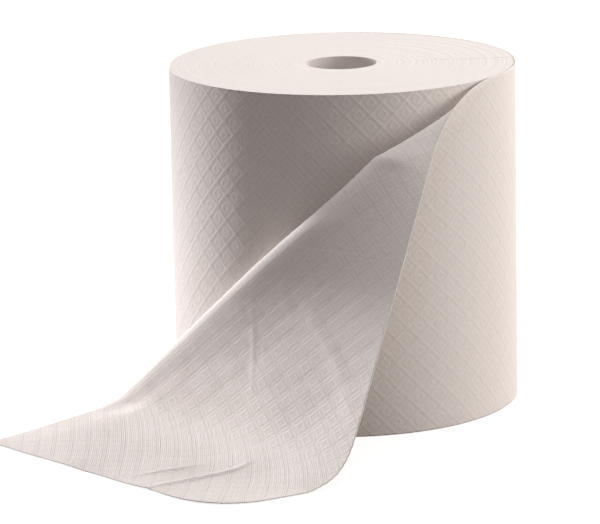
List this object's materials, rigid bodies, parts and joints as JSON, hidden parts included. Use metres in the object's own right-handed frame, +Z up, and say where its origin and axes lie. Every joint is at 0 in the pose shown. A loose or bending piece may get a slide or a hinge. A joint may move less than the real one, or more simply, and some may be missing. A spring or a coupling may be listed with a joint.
{
  "type": "paper towel roll",
  "caption": "Large wiper roll of white embossed tissue standing on its end, with an open bore and a loose end folded over and laid in front of it",
  "frame": {"origin": "on the axis of the bore, at the end face that the roll stands on", "axes": "+Z up along the bore, -Y towards the loose end laid out in front, +X to the viewer's right"},
  "size_m": [0.3992, 0.4503, 0.26],
  "materials": {
    "tissue": "matt embossed tissue"
  },
  "bodies": {
    "root": {"wound_roll": "tissue", "loose_sheet": "tissue"}
  },
  "joints": []
}
